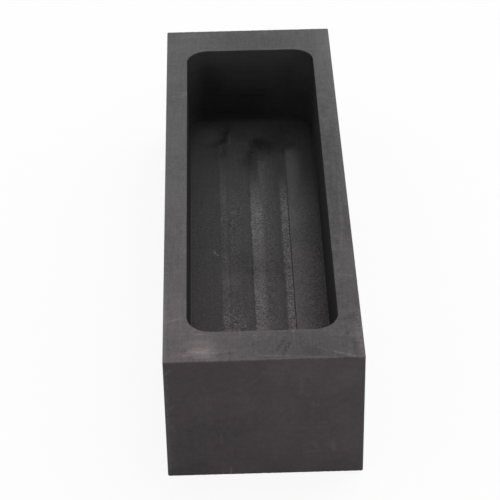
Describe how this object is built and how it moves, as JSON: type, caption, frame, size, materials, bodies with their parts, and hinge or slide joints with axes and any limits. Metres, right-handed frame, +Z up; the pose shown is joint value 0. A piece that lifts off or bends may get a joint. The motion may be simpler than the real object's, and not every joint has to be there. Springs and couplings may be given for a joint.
{
  "type": "ingot mould",
  "caption": "Rectangular graphite block with a round-cornered open pocket milled into its top, for casting a metal bar.",
  "frame": {"origin": "centre of the underside, on the surface the mould stands on", "axes": "+Z up out of the pocket, +Y along the length, +X across the width"},
  "size_m": [0.04, 0.13, 0.03],
  "materials": {
    "graphite": "machined fine-grained graphite, dark grey with a soft sheen"
  },
  "bodies": {
    "root": {"mould_block": "graphite"}
  },
  "joints": []
}
